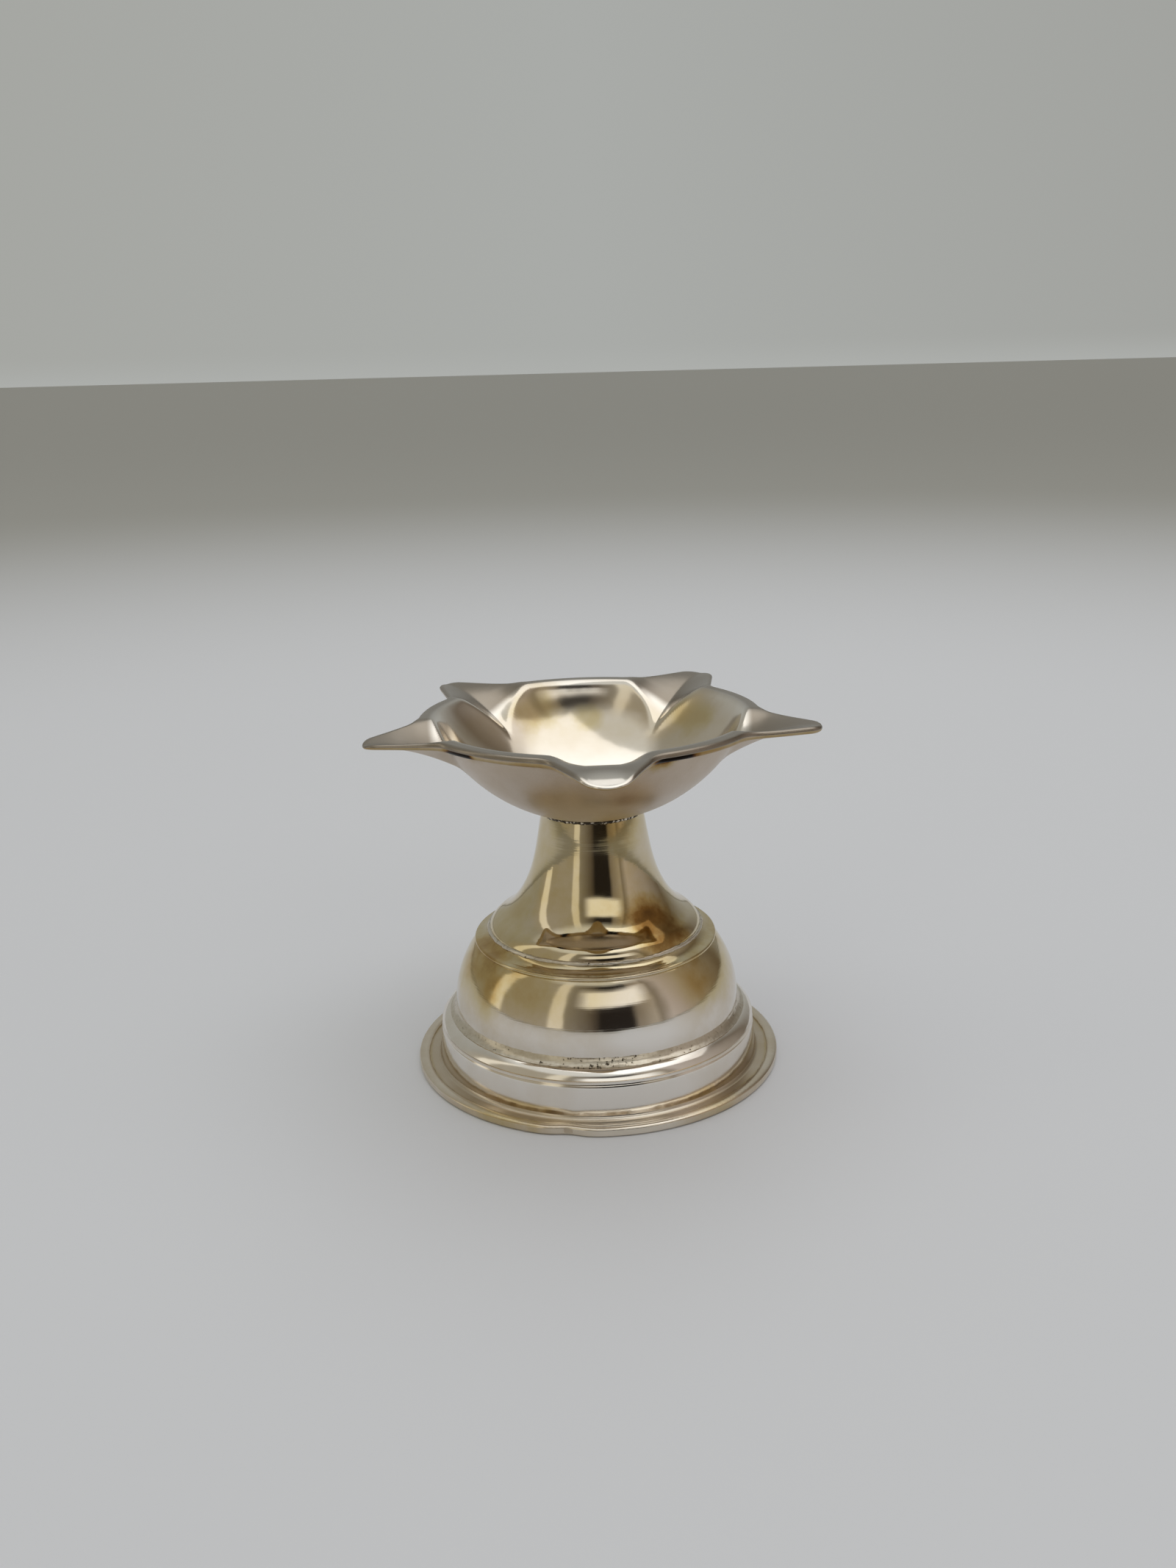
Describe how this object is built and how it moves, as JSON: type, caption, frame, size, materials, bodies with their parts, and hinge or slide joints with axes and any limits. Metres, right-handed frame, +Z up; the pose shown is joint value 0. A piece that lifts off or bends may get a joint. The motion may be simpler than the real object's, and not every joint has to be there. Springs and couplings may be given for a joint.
{
  "type": "aarti lamp",
  "caption": "Small silver aarti lamp: a star-shaped oil bowl with troughed wick lips on a spun trumpet stem, domed pedestal and flanged foot.",
  "frame": {"origin": "centre of the flat underside of the closing plate, on the lamp's axis", "axes": "+Z up along the lamp's axis; the front wick lip points towards -Y, and +X is to the right of someone who faces it"},
  "size_m": [0.0581, 0.0571, 0.0482],
  "materials": {
    "bowl_silver": "raised and polished silver sheet, satin underneath",
    "tarnished_silver": "spun and polished silver with a thin straw-coloured tarnish",
    "dome_silver": "spun and polished silver, straw tarnish at the crown",
    "foot_silver": "spun and polished silver, nearly white",
    "plate_silver": "folded silver sheet with a raw folded edge",
    "silver_solder": "dull, grainy silver solder with dark pits"
  },
  "bodies": {
    "root": {"bowl": "bowl_silver", "stem": "tarnished_silver", "dome": "dome_silver", "foot_skirt": "foot_silver", "bottom_plate": "plate_silver", "bowl_seam": "silver_solder", "shoulder_seam": "silver_solder", "foot_seam": "silver_solder"}
  },
  "joints": []
}
